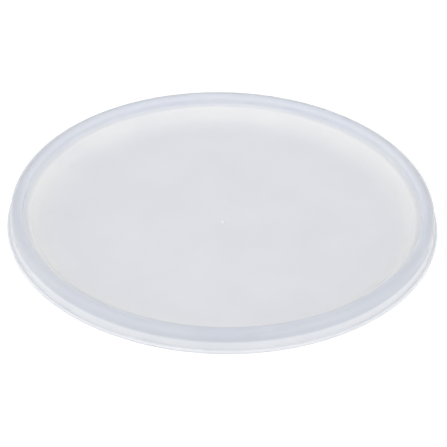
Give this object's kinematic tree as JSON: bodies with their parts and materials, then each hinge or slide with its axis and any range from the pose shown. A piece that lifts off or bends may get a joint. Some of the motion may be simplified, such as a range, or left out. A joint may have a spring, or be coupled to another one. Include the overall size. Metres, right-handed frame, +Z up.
{
  "type": "food container lid",
  "caption": "Round translucent plastic lid for a foam takeout container, with a recessed panel, a rounded hollow rim that clips over the container's brim, and a peel lip.",
  "frame": {"origin": "centre of the circle that the lip stands on, on the lid's axis", "axes": "+Z up along the lid's axis, out of the panel's top; X and Y are any two directions across it, since the lid is round"},
  "size_m": [0.152, 0.152, 0.0083],
  "materials": {
    "lid_plastic": "satin moulded translucent polyethylene, bluish white"
  },
  "bodies": {
    "root": {"container_lid": "lid_plastic"}
  },
  "joints": []
}
